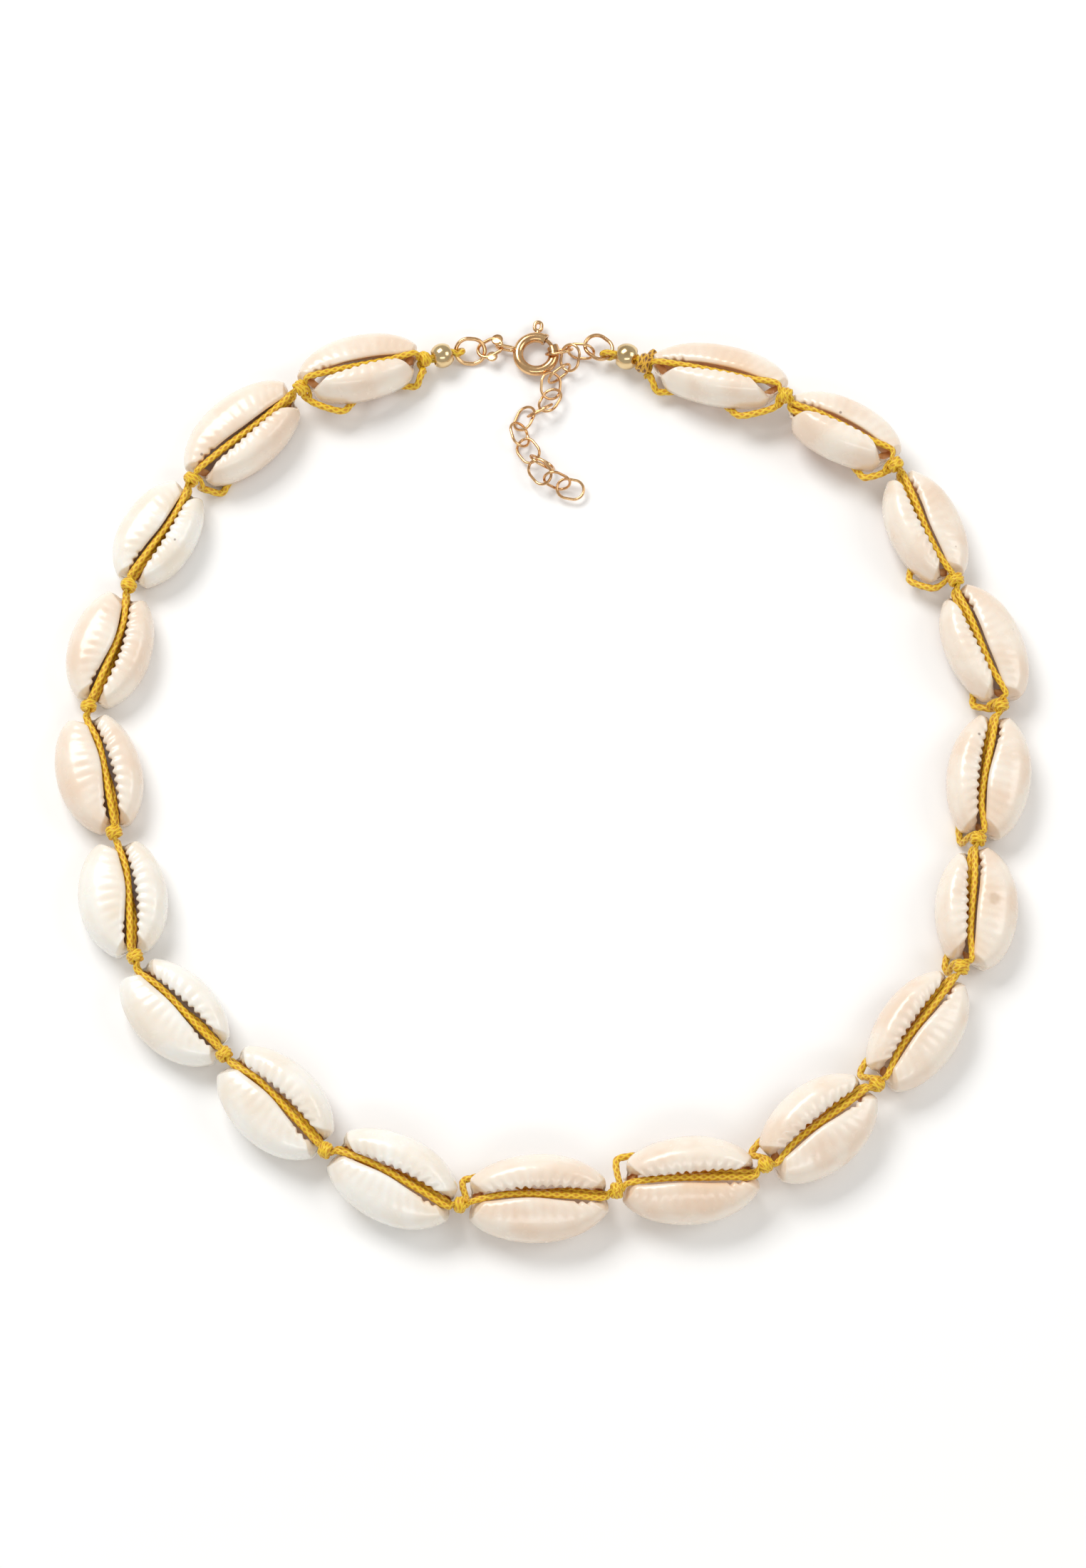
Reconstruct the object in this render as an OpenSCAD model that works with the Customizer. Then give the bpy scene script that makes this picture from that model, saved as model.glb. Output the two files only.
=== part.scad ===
// Cowrie shell necklace, clasp closed, lying on a table as one loop.
// Nineteen hollow-backed cowrie shells hang on two strands of waxed cord, with
// a knot between neighbours. The ends loop through jump rings that carry a
// spring ring clasp and a short extension chain, which lies inside the loop.
// X runs left to right, Y away from the viewer and Z up from the table.

/* [Shells] */
// Depth of a shell as a share of its width
depth_ratio = 0.52; // [0.50:0.01:0.54]
// Thickness of a shell's wall
shell_wall = 1.1; // [0.9:0.1:1.2]
// Half width of the slit in its narrow half
slit_narrow = 0.5; // [0.45:0.05:0.6]
// Half width of the slit in its wide half
slit_wide = 0.8; // [0.7:0.05:0.9]
// Depth of the notches between the teeth of the outer lip
tooth_depth = 0.32; // [0.2:0.02:0.36]

/* [Cord] */
// Diameter of one strand of cord
strand_d = 0.86; // [0.74:0.04:0.86]
// Diameter of a knot
knot_d = 2.0; // [1.9:0.1:2.2]
// Length of a knot along the cord
knot_l = 1.3; // [1.2:0.1:1.4]

/* [Beads] */
// Diameter of the bead on the left end of the cord
left_bead_d = 3.2; // [3.0:0.1:3.4]
// Diameter of the bead on the right end of the cord
right_bead_d = 3.4; // [3.2:0.1:3.6]
// Bore of both beads
bead_bore_d = 2.0; // [1.9:0.1:2.1]

/* [Clasp] */
// Outer diameter of the spring ring
clasp_d = 6.0; // [5.8:0.1:6.2]
// Diameter of the spring ring's tube
clasp_tube_d = 1.35; // [1.3:0.05:1.4]
// Diameter of the lever rod inside the tube
lever_d = 0.5; // [0.4:0.05:0.55]
// How far the lever slides back, in degrees
lever_travel = 34; // [28:1:34]

/* [Chain] */
// Outer length of a chain link
link_l = 3.8; // [3.7:0.1:3.9]
// Outer width of a chain link
link_w = 2.9; // [2.8:0.1:3.0]
// Wire of a chain link
link_wire = 0.36; // [0.3:0.02:0.38]

/* [Hidden] */
$fn = 40;

shell_cream = [0.93, 0.87, 0.80];
shell_white = [0.95, 0.94, 0.90];
cord_gold = [0.80, 0.60, 0.22];
cord_brown = [0.35, 0.20, 0.10];
rose_gold = [0.85, 0.58, 0.47];
bead_gold = [0.86, 0.70, 0.60];

// Centre of the finished loop, which is taken off every place below so that
// the origin comes under the middle of the necklace.
loop_centre = [0.0, 1.3, 0];

// Middle of each knot, from the left end round to the right: [x, y, z].
knot_at = [
    [-15.3, 56.7, 2.8], [-31.1, 51.8, 5.0], [-44.9, 39.5, 4.4], [-52.6, 25.2, 4.1],
    [-57.3, 9.0, 4.1], [-53.7, -7.7, 4.2], [-50.7, -24.0, 4.5], [-39.4, -36.7, 5.1],
    [-26.7, -49.1, 5.8], [-10.1, -56.0, 5.9], [9.0, -54.3, 6.2], [27.2, -51.1, 6.3],
    [41.1, -40.7, 5.7], [51.9, -25.6, 5.2], [54.4, -8.8, 4.9], [57.7, 8.9, 4.7],
    [52.4, 25.7, 4.8], [45.0, 41.1, 5.5], [31.1, 50.4, 5.9], [13.1, 55.8, 3.5]
];

// Each shell in the same order: [length, width, lean outwards, turn from the
// line of its knots, rise towards its far end, shift inwards, then how far out
// along the near half and the far half the back strand dips in under the inner
// edge, or 0 where it stays in the slit].
shell_table = [
    [16.4, 9.2, 19, -1, 6, -1.6, 0.8, 0.4],
    [17.8, 10.3, 6, 0, 0, -1.2, 0, 0.75],
    [15.6, 9.9, 4, -2, 0, -0.6, 0, 0],
    [16.2, 10.6, 0, 0, 0, 0, 0, 0],
    [16.5, 10.8, 0, 3, 0, -0.4, 0, 0],
    [15.9, 11.2, 0, -2, 0, -0.3, 0, 0],
    [16.3, 10.5, 7, 4, 0, -1.0, 0, 0],
    [17.1, 11.2, 16, 1, 0, -0.3, 0, 0],
    [17.4, 11.1, 22, -4, 0, -0.5, 0, 0],
    [18.5, 11.0, 22, -3, 0, -0.3, 0.95, 0],
    [17.8, 11.0, 29, -6, 0, -0.9, 0.95, 0],
    [16.8, 11.2, 22, 3, 0, -0.6, 0.95, 0],
    [17.2, 10.4, 17, 1, 0, -0.6, 0.95, 0],
    [16.3, 10.5, 10, 5, 0, -1.3, 0.95, 0],
    [17.2, 10.7, 8, 3, 0, -0.3, 0.95, 0],
    [16.9, 10.0, 11, 5, 0, -1.2, 0.75, 0],
    [16.4, 9.6, 17, -2, 0, -0.5, 0.65, 0],
    [16.0, 9.3, 30, 6, 0, -1.8, 0.65, 0],
    [18.2, 8.8, 24, 3, -6, -1.9, 0.4, 0.8]
];
SHELLS = len(shell_table);

function unit(v) = v / norm(v);
function mix(p, q, k) = p + (q - p) * k;
function flat(v) = [v.x, v.y, 0];

// Turns a point of a shell by its lean, its rise and its heading.
function turned(p, lean, rise, heading) =
    let (
        y = p.y * cos(lean) - p.z * sin(lean),
        z = p.y * sin(lean) + p.z * cos(lean),
        x = p.x * cos(rise) - z * sin(rise)
    )
    [
        x * cos(heading) - y * sin(heading),
        x * sin(heading) + y * cos(heading),
        p.x * sin(rise) + z * cos(rise)
    ];

// Form of a cowrie.
// In a shell's own frame X runs along it to its far end, +Y is the side of
// the toothed outer lip and Z = 0 is the plane where its back is cut away.

COARSE = 30;
FINE = 60;
rim_reach = 0.93;
cut_inset = 0.5;
widest_level = 0.42;
channel_level = 0.72;
crest_droop = 0.22;
notch_drop = 0.52;
notch_half = 0.42;
notch_slope = 1.4;
notch_in = 1.0;
slit_end_share = 0.7;
slit_swing = 0.2;
near_end_full = 0.28;
far_end_slim = 1.15;
tooth_reach = 0.83;
tooth_depth_inner = 0.2;

function shell_l(i) = shell_table[i][0];
function shell_w(i) = shell_table[i][1];
function shell_h(i) = shell_w(i) * depth_ratio;

// How far to the side the slit meets the ends, which is on the line of the knots.
function slit_end(i) = -slit_end_share * shell_table[i][5];

// Share of the end notch at an angle round the shell.
function end_notch(i, ang) =
    let (off = abs(sin(ang) - 2 * slit_end(i) / shell_w(i)))
    min(1, notch_slope * max(0, 1 - off / notch_half));

// Plan outline of the shell, drawn in by a margin. Its near end is blunter than
// its far end, and both ends are notched for the cord.
function outline(i, ang, margin) =
    let (
        a = shell_l(i) / 2 - margin - notch_in * end_notch(i, ang),
        b = shell_w(i) / 2 - margin,
        power = far_end_slim - near_end_full * (1 - cos(ang)) / 2
    )
    [a * cos(ang), b * sign(sin(ang)) * pow(abs(sin(ang)), power)];

// How far along the slit a station lies, from 1 at the far end to -1.
function slit_t(ang) = rim_reach * (ang <= 180 ? 1 - ang / 90 : ang / 90 - 3);

// The slit curves over the middle of the shell and is wider in its far half.
function slit_mid(i, t) =
    slit_end(i) + (slit_swing * shell_w(i) / 2 - slit_end(i)) * exp(-pow((t + 0.1) / 0.65, 2));
function slit_half(t) =
    (slit_narrow + (slit_wide - slit_narrow) / (1 + exp(-8 * (t - 0.1))))
    * sqrt(max(0, 1 - pow(abs(t) / rim_reach, 6)));

// Edge of one lip. Every second fine station is a notch between two teeth.
function rim(i, ang, toothed) =
    let (
        t = slit_t(ang),
        side = ang == 0 || ang == 180 ? 0 : (ang < 180 ? 1 : -1),
        notch = toothed && abs(t) < tooth_reach ? (side > 0 ? tooth_depth : tooth_depth_inner) : 0
    )
    [shell_l(i) / 2 * t, slit_mid(i, t) + side * (slit_half(t) + notch)];

// Height of the crest of the lips, lower at the ends, with a notch for the cord.
function crest(i, ang) =
    shell_h(i) * (1 - crest_droop * pow(abs(cos(ang)), 3))
    * (1 - notch_drop * end_notch(i, ang));

// Point on the outside, between the outline and the rim.
function outer_pt(i, ang, k, level) =
    let (p = mix(outline(i, ang, 0), rim(i, ang, false), k))
    [p.x, p.y, level * crest(i, ang)];

function outline_pt(i, ang, margin, z) = let (p = outline(i, ang, margin)) [p.x, p.y, z];

// Point under the lip, between the rim and the inside of the wall.
function lip_pt(i, ang, k, level) =
    let (p = mix(rim(i, ang, false), outline(i, ang, shell_wall), k))
    [p.x, p.y, level * crest(i, ang)];

function coarse_angles() = [for (j = [0 : COARSE - 1]) j * 360 / COARSE];

// Closed section of the shell as rows of points, from the cut edge over the
// outside and the lip to the inside and back.
function shell_rows(i) =
    let (h = shell_h(i), angles = coarse_angles())
    [
        [for (a = angles) outline_pt(i, a, cut_inset, 0)],
        [for (a = angles) outline_pt(i, a, 0, widest_level * h)],
        [for (a = angles) outer_pt(i, a, 0.10, 0.76)],
        [for (a = angles) outer_pt(i, a, 0.34, 0.95)],
        [for (a = angles) outer_pt(i, a, 0.74, 1)],
        [for (j = [0 : FINE - 1])
            let (a = j * 360 / FINE, p = rim(i, a, j % 2 == 1))
            [p.x, p.y, 0.90 * crest(i, a)]],
        [for (a = angles) lip_pt(i, a, 0.25, 0.72)],
        [for (a = angles) outline_pt(i, a, shell_wall, 0.45 * h)],
        [for (a = angles) outline_pt(i, a, shell_wall + cut_inset, 0)]
    ];

// Heading of a shell in plan, and the height at which its channel runs so that
// its lowest point rests on the table.
function heading(i) =
    let (d = knot_at[i + 1] - knot_at[i])
    atan2(d.y, d.x) + shell_table[i][3];
function from_channel(i, p) =
    turned(
        [p.x, p.y + shell_table[i][5], p.z - channel_level * shell_h(i)],
        shell_table[i][2], shell_table[i][4], heading(i)
    );
function channel_z(i) =
    -min([for (row = [0, 1], p = shell_rows(i)[row]) from_channel(i, p).z]);
channel_height = [for (i = [0 : SHELLS - 1]) channel_z(i)];

// A point of a shell in the frame of the necklace.
function placed(i, p) =
    flat((knot_at[i] + knot_at[i + 1]) / 2) - loop_centre
    + [0, 0, channel_height[i]] + from_channel(i, p);

// Triangles between two closed rows of equal, doubled or halved count.
function strip(a, na, b, nb) =
    na == nb ? [for (j = [0 : na - 1])
        each [[a + j, b + j, b + (j + 1) % nb], [a + j, b + (j + 1) % nb, a + (j + 1) % na]]]
    : na < nb ? [for (j = [0 : na - 1])
        each [[a + j, b + 2 * j, b + 2 * j + 1],
              [a + j, b + 2 * j + 1, a + (j + 1) % na],
              [a + (j + 1) % na, b + 2 * j + 1, b + (2 * j + 2) % nb]]]
    : [for (j = [0 : nb - 1])
        each [[a + 2 * j, b + j, a + 2 * j + 1],
              [a + 2 * j + 1, b + j, b + (j + 1) % nb],
              [a + 2 * j + 1, b + (j + 1) % nb, a + (2 * j + 2) % na]]];

function row_start(rows, r) = r == 0 ? 0 : row_start(rows, r - 1) + len(rows[r - 1]);

// A closed band of rows, such as the wall of a shell.
module band(rows) {
    n = len(rows);
    polyhedron(
        points = [for (row = rows) each row],
        faces = [for (r = [0 : n - 1])
            each strip(row_start(rows, r), len(rows[r]),
                       row_start(rows, (r + 1) % n), len(rows[(r + 1) % n]))]
    );
}

module cowrie(i) {
    band([for (row = shell_rows(i)) [for (p = row) placed(i, p)]]);
}

// Two strands of cord run side by side through every shell.
strand_r = strand_d / 2;
strand_sides = 6;
pinch_r = 0.25;
pinch_off = 0.31;
knot_exit = knot_l / 2 + 0.1;

// Direction of the cord through a knot.
function knot_dir(k) = unit(knot_at[min(k + 1, SHELLS)] - knot_at[max(k - 1, 0)]);
function knot_mid(k) = knot_at[k] - loop_centre;

// Centre of a strand at one face of a knot: [point, radius].
function at_knot(k, way, level) =
    [knot_mid(k) + way * knot_exit * knot_dir(k) + [0, 0, level * pinch_off], pinch_r];

// A station on a strand inside shell i, from shares of its half length and
// height: [point, radius].
function in_shell(i, t, y, z, r = strand_r) = [placed(i, [t * shell_l(i) / 2, y, z]), r];

// The front strand runs over the end notches and along the slit.
over_notch = 1.46;
in_notch = 0.54;
strand_apart = 0.12;
notch_floor = 0.42;
tight_r = 0.35;
function notch_level(i, above) = notch_floor * shell_h(i) + above;
function front_in_shell(i) =
    let (h = shell_h(i), end_y = slit_end(i) - strand_apart)
    [
        in_shell(i, -0.9, end_y, notch_level(i, over_notch), tight_r),
        in_shell(i, -0.45, slit_mid(i, -0.45), 0.70 * h),
        in_shell(i, 0.45, slit_mid(i, 0.45) - 0.15, 0.74 * h),
        in_shell(i, 0.9, end_y, notch_level(i, over_notch), tight_r)
    ];

// The back strand lies below it, or turns off at a knot, follows the inner edge
// of the shell and dips in under the cut edge into the hollow.
function back_in_notch(i, end) =
    end < 0
    ? [in_shell(i, -0.9, slit_end(i) + strand_apart, notch_level(i, in_notch), tight_r),
       in_shell(i, -0.5, 0.4, 0.42 * shell_h(i))]
    : [in_shell(i, 0.9, slit_end(i) + strand_apart, notch_level(i, in_notch), tight_r),
       in_shell(i, 0.45, slit_mid(i, 0.45) + 0.3, 0.74 * shell_h(i) - 0.85)];

// A station next to a knot, inwards from it and below it.
function beside_knot(k, way, out, aside, drop, r) =
    let (d = knot_dir(k))
    [knot_mid(k) + way * out * d + aside * unit([-d.y, d.x, 0]) - [0, 0, drop], r];

// A station off the inner edge of a shell.
function beside_shell(i, t, off, z) = in_shell(i, t, outline(i, acos(t), 0).y + off, z);

function back_round_end(i, end) =
    let (k = end < 0 ? i : i + 1, dip = shell_table[i][end < 0 ? 6 : 7], y = slit_end(i) + 1.9)
    concat(
        [beside_knot(k, -end, 0.92, 0.4, 0.5, 0.23)],
        dip > 0.9 ? [
            beside_knot(k, -end, 0.62, 1.1, 1.5, 0.35),
            in_shell(i, end * 0.99, y, -0.2),
            in_shell(i, end * 0.88, y + 0.3, -0.4)
        ] : [
            beside_knot(k, -end, 0.5, 1.4, 1.0, 0.33),
            beside_shell(i, end * 0.97, 0.75, 1.2),
            beside_shell(i, end * 0.89, 0.55, 0.7),
            each dip < 0.7 ? [beside_shell(i, end * (0.93 + dip) / 2, 0.5, 0.2)] : [],
            beside_shell(i, end * (dip + 0.02), 0.45, -0.25),
            beside_shell(i, end * (dip - 0.12), -0.7, -0.44)
        ],
        [beside_shell(i, end * (min(dip, 0.85) - 0.28), -1.9, -0.35)]
    );
function back_end(i, end) =
    shell_table[i][end < 0 ? 6 : 7] > 0 ? back_round_end(i, end) : back_in_notch(i, end);
function reversed(list) = [for (j = [len(list) - 1 : -1 : 0]) list[j]];

// Middle of the back strand in a shell, between the places where it comes in.
function back_middle(i) =
    let (near = shell_table[i][6], far = shell_table[i][7])
    ((far > 0 ? far - 0.3 : 0.5) - (near > 0 ? near - 0.3 : 0.5)) / 2;
function back_in_shell(i) =
    concat(
        back_end(i, -1),
        [in_shell(i, back_middle(i), 0.9, 0.40 * shell_h(i))],
        reversed(back_end(i, 1))
    );

// Places of the cord's ends: the beads and the loops round the jump rings.
left_bead_at = [-13.0, 57.4, 2.2] - loop_centre;
right_bead_at = [10.8, 57.2, 2.4] - loop_centre;
left_hub_at = [-11.23, 58.1, 1.3] - loop_centre;
right_hub_at = [8.55, 57.55, 2.0] - loop_centre;
left_loop_up = unit([0.2, -0.5, 0.85]);
turn_r = 0.92;
leg_off = 0.45;
leg_r = 0.31;
leg_in = 0.4;

// A loop of cord out of a bead, round a jump ring's wire and back, square to
// the wire.
function end_loop(bead, hub, bead_r, up) =
    let (d = unit(flat(hub - bead)))
    concat(
        [for (m = [-1, 1]) [bead + m * (bead_r - leg_in) * d - [0, 0, leg_off], leg_r]],
        [for (a = [-90 : 22.5 : 90]) [hub + turn_r * (d * cos(a) + up * sin(a)), leg_r]],
        [for (m = [1, -1]) [bead + m * (bead_r - leg_in) * d + [0, 0, leg_off], leg_r]]
    );

// Ends of the strands inside the two end knots.
strand_stop = 0.1;
function in_knot(k, way, level) =
    [knot_mid(k) + way * strand_stop * knot_dir(k) + [0, 0, level * pinch_off], pinch_r];

function front_path() =
    concat(
        [in_knot(0, -1, -1)],
        end_loop(left_bead_at, left_hub_at, left_bead_d / 2, left_loop_up),
        [in_knot(0, -1, 1)],
        [for (i = [0 : SHELLS - 1])
            each concat([at_knot(i, 1, 1)], front_in_shell(i), [at_knot(i + 1, -1, 1)])],
        [in_knot(SHELLS, -1, 1)]
    );

function back_path() =
    concat(
        [in_knot(0, 1, -1)],
        [for (i = [0 : SHELLS - 1])
            each concat([at_knot(i, 1, -1)], back_in_shell(i), [at_knot(i + 1, -1, -1)])],
        [at_knot(SHELLS, 1, -1)],
        end_loop(right_bead_at, right_hub_at, right_bead_d / 2, [0, 0, 1]),
        [at_knot(SHELLS, 1, 1), in_knot(SHELLS, 1, 1)]
    );

// A round cord along a path of [point, radius] stations. Its rings keep their
// turn from one station to the next.
module cord(path) {
    n = len(path);
    tangent = [for (j = [0 : n - 1])
        unit(path[min(j + 1, n - 1)][0] - path[max(j - 1, 0)][0])];
    up = [for (j = 0, u = [0, 0, 1]; j < n;
               u = j < n - 1 ? unit(u - (u * tangent[j + 1]) * tangent[j + 1]) : u, j = j + 1)
        unit(u - (u * tangent[j]) * tangent[j])];
    points = [for (j = [0 : n - 1]) let (side = cross(up[j], tangent[j]))
        for (s = [0 : strand_sides - 1]) let (a = 360 * s / strand_sides)
            path[j][0] + path[j][1] * (up[j] * cos(a) + side * sin(a))];
    polyhedron(
        points = points,
        faces = concat(
            [[for (s = [0 : strand_sides - 1]) s]],
            [for (j = [0 : n - 2]) each strip(j * strand_sides, strand_sides,
                                              (j + 1) * strand_sides, strand_sides)],
            [[for (s = [strand_sides - 1 : -1 : 0]) (n - 1) * strand_sides + s]]
        )
    );
}

knot_bore_r = 0.76;
wrap_r = 0.37;

// Points Z along a direction.
module aim(d) {
    rotate([0, acos(unit(d).z), atan2(d.y, d.x)]) children();
}

// Two wraps of cord side by side, drawn tight round both strands.
module wrap_knot(outer_d) {
    difference() {
        union() {
            for (m = [-1, 1]) translate([0, 0, m * (knot_l / 2 - wrap_r)])
                rotate_extrude() translate([outer_d / 2 - wrap_r, 0]) circle(r = wrap_r);
            cylinder(r = outer_d / 2 - wrap_r, h = knot_l * 0.8, center = true);
        }
        cylinder(r = knot_bore_r, h = 2 * knot_l, center = true);
    }
}

module all_knots() {
    for (k = [0 : SHELLS - 1])
        translate(knot_mid(k)) aim(knot_dir(k)) wrap_knot(knot_d);
}

// The last knot is a thicker lump with the cut end of the cord sealed on it.
stub_r = 0.5;
module last_knot() {
    translate(knot_mid(SHELLS)) aim(knot_dir(SHELLS))
        difference() {
            union() {
                rotate_extrude() translate([0.75, 0]) circle(r = 0.5);
                translate([0, 0, 0.55]) rotate([0, 20, 0])
                    rotate_extrude() translate([0.65, 0]) circle(r = 0.42);
                translate([0, 0, -0.5]) cylinder(r = 0.9, h = 1.2);
                translate([-0.9, 0, 0.2]) rotate([0, -35, 0]) cylinder(r = stub_r, h = 1.5);
            }
            cylinder(r = knot_bore_r, h = 6, center = true);
        }
}

module drilled_bead(d, at, hub) {
    translate(at) aim(flat(hub - at)) difference() {
        sphere(d = d);
        cylinder(d = bead_bore_d, h = 2 * d, center = true);
    }
}

// An oval ring of round wire lying in the XY plane, its long axis along X.
module oval(l, w, wire) {
    bend = (w - wire) / 2;
    half = (l - w) / 2;
    for (m = [0, 1]) mirror([m, 0, 0]) translate([half, 0, 0]) rotate([0, 0, -90])
        rotate_extrude(angle = 180) translate([bend, 0]) circle(d = wire);
    for (m = [-1, 1]) translate([-half, m * bend, 0]) rotate([0, 90, 0])
        cylinder(d = wire, h = 2 * half);
}

// Where a ring or link rests: [x, y, z, heading, pitch, roll].
module rest(pose) {
    translate([pose[0], pose[1], pose[2]] - loop_centre)
        rotate([pose[5], pose[4], pose[3]]) children();
}

// Each link of the extension chain, from the right jump ring on:
// [x, y, z, heading, pitch, roll].
link_pose = [
    [4.9, 58.3, 1.5, -8, -12, 67],
    [2.1, 58.3, 1.35, 12, -2, -61],
    [3.5, 57.2, 2.0, 79, -28, 157],
    [2.1, 55.2, 1.5, 38, -3, 83],
    [1.0, 53.6, 1.2, 86, -10, 19],
    [0.9, 51.6, 1.2, 61, 3, -24],
    [-0.4, 50.1, 1.45, 26, -8, 112],
    [-2.4, 49.2, 0.9, 67, 0, -31],
    [-3.0, 46.9, 1.1, 105, 4, 37],
    [-1.9, 44.7, 1.0, 125, 9, -21],
    [-0.1, 42.9, 1.5, -18, 28, -55],
    [-0.4, 41.4, 2.1, -52, -1, 28],
    [1.8, 40.3, 1.8, -18, 28, 62],
    [3.5, 39.4, 1.1, -10, 2, 8]
];
left_ring_pose = [-9.4, 58.4, 1.25, -1, 7, 32];
right_ring_pose = [7.2, 58.7, 1.9, -40, -3, -4];
tag_pose = [-6.85, 58.9, 1.15, 30, -1, -13];

// Length, width and wire of the jump rings.
left_ring_size = [4.3, 3.8, 0.53];
right_ring_size = [4.2, 3.5, 0.5];
module jump_ring(pose, size) {
    rest(pose) oval(size[0], size[1], size[2]);
}

module chain_link(k) {
    rest(link_pose[k]) oval(link_l, link_w, link_wire);
}

// A plain oval link with two flattened lobes on its wire: [x, y, diameter].
tag_l = 3.7;
tag_w = 2.8;
tag_wire = 0.45;
lobe_t = 0.4;
lobes = [[1.4, 0.6, 1.5], [-0.4, -1.3, 1.4]];
module plain_tag() {
    rest(tag_pose) {
        oval(tag_l, tag_w, tag_wire);
        for (lobe = lobes)
            translate([lobe.x, lobe.y, -lobe_t / 2]) cylinder(d = lobe.z, h = lobe_t);
    }
}

// Spring ring clasp. Angles run counter-clockwise from +X round the ring's middle.

clasp_at = [-0.9, 58.0, 1.25] - loop_centre;
clasp_r = (clasp_d - clasp_tube_d) / 2;
collar_d = clasp_tube_d + 0.2;
clasp_bore_d = 0.9;
mouth_near = 25;
mouth_far = 57;
collar_start = 5;
pocket_end = 12;
bore_end = 140;
lever_tip = 20;
lever_end = 95;
knob_angle = 86;
slot_half = 6;
slot_w = 0.8;
knob_wire = 0.5;
knob_l = 1.7;
knob_w = 1.4;
knob_r = 4.7;

// Part of a torus about Z, from one angle to another.
module arc_tube(r, d, from, to) {
    rotate([0, 0, from]) rotate_extrude(angle = to - from) translate([r, 0]) circle(d = d);
}

module clasp_body() {
    translate(clasp_at) {
        difference() {
            union() {
                arc_tube(clasp_r, clasp_tube_d, mouth_far, 360 + mouth_near);
                arc_tube(clasp_r, collar_d, collar_start, mouth_near);
                arc_tube(clasp_r, collar_d, mouth_far, mouth_far + 8);
            }
            arc_tube(clasp_r, clasp_bore_d, pocket_end, mouth_near + 1);
            arc_tube(clasp_r, clasp_bore_d, mouth_far - 1, bore_end);
            rotate([0, 0, knob_angle - slot_half])
                rotate_extrude(angle = lever_travel + 2 * slot_half)
                translate([clasp_r, -slot_w / 2]) square([clasp_tube_d, slot_w]);
        }
        eye();
    }
}

// The eye is soldered upright on the left of the ring.
eye_wire = 0.4;
eye_l = 2.8;
eye_w = 1.64;
eye_turn = -12;
eye_rise = 0.1;
module eye() {
    rotate([0, 0, eye_turn])
        translate([-clasp_d / 2 - eye_l / 2 + eye_wire, 0, eye_rise]) rotate([90, 0, 0])
        oval(eye_l, eye_w, eye_wire);
}

module clasp_rod() {
    translate(clasp_at) {
        arc_tube(clasp_r, lever_d, lever_tip, lever_end);
        rotate([0, 0, knob_angle]) {
            translate([clasp_r, 0, 0]) rotate([0, 90, 0])
                cylinder(d = knob_wire, h = knob_r - knob_l - clasp_r + knob_wire / 2);
            translate([knob_r - knob_l / 2, 0, 0]) oval(knob_l, knob_w, knob_wire);
        }
    }
}

// The separate pieces.

module cowrie_01() color(shell_cream) cowrie(0);
module cowrie_02() color(shell_cream) cowrie(1);
module cowrie_03() color(shell_white) cowrie(2);
module cowrie_04() color(shell_cream) cowrie(3);
module cowrie_05() color(shell_cream) cowrie(4);
module cowrie_06() color(shell_white) cowrie(5);
module cowrie_07() color(shell_white) cowrie(6);
module cowrie_08() color(shell_white) cowrie(7);
module cowrie_09() color(shell_white) cowrie(8);
module cowrie_10() color(shell_cream) cowrie(9);
module cowrie_11() color(shell_cream) cowrie(10);
module cowrie_12() color(shell_cream) cowrie(11);
module cowrie_13() color(shell_cream) cowrie(12);
module cowrie_14() color(shell_cream) cowrie(13);
module cowrie_15() color(shell_cream) cowrie(14);
module cowrie_16() color(shell_cream) cowrie(15);
module cowrie_17() color(shell_cream) cowrie(16);
module cowrie_18() color(shell_cream) cowrie(17);
module cowrie_19() color(shell_cream) cowrie(18);
module strand_front() color(cord_gold) cord(front_path());
module strand_back() color(cord_gold) cord(back_path());
module knots() color(cord_gold) all_knots();
module end_knot() color(cord_brown) last_knot();
module bead_left() color(bead_gold) drilled_bead(left_bead_d, left_bead_at, left_hub_at);
module bead_right() color(bead_gold) drilled_bead(right_bead_d, right_bead_at, right_hub_at);
module ring_left() color(rose_gold) jump_ring(left_ring_pose, left_ring_size);
module ring_right() color(rose_gold) jump_ring(right_ring_pose, right_ring_size);
module tag_link() color(rose_gold) plain_tag();
module clasp_ring() color(rose_gold) clasp_body();
module clasp_lever() color(rose_gold) clasp_rod();
module chain_link_01() color(rose_gold) chain_link(0);
module chain_link_02() color(rose_gold) chain_link(1);
module chain_link_03() color(rose_gold) chain_link(2);
module chain_link_04() color(rose_gold) chain_link(3);
module chain_link_05() color(rose_gold) chain_link(4);
module chain_link_06() color(rose_gold) chain_link(5);
module chain_link_07() color(rose_gold) chain_link(6);
module chain_link_08() color(rose_gold) chain_link(7);
module chain_link_09() color(rose_gold) chain_link(8);
module chain_link_10() color(rose_gold) chain_link(9);
module chain_link_11() color(rose_gold) chain_link(10);
module chain_link_12() color(rose_gold) chain_link(11);
module chain_link_13() color(rose_gold) chain_link(12);
module chain_link_14() color(rose_gold) chain_link(13);

cowrie_01();
cowrie_02();
cowrie_03();
cowrie_04();
cowrie_05();
cowrie_06();
cowrie_07();
cowrie_08();
cowrie_09();
cowrie_10();
cowrie_11();
cowrie_12();
cowrie_13();
cowrie_14();
cowrie_15();
cowrie_16();
cowrie_17();
cowrie_18();
cowrie_19();
strand_front();
strand_back();
knots();
end_knot();
bead_left();
bead_right();
ring_left();
ring_right();
tag_link();
clasp_ring();
clasp_lever();
chain_link_01();
chain_link_02();
chain_link_03();
chain_link_04();
chain_link_05();
chain_link_06();
chain_link_07();
chain_link_08();
chain_link_09();
chain_link_10();
chain_link_11();
chain_link_12();
chain_link_13();
chain_link_14();
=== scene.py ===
from math import atan2, ceil, cos, pi, radians, sin

import bpy
import numpy as np
from mathutils import Matrix, Vector


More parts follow.
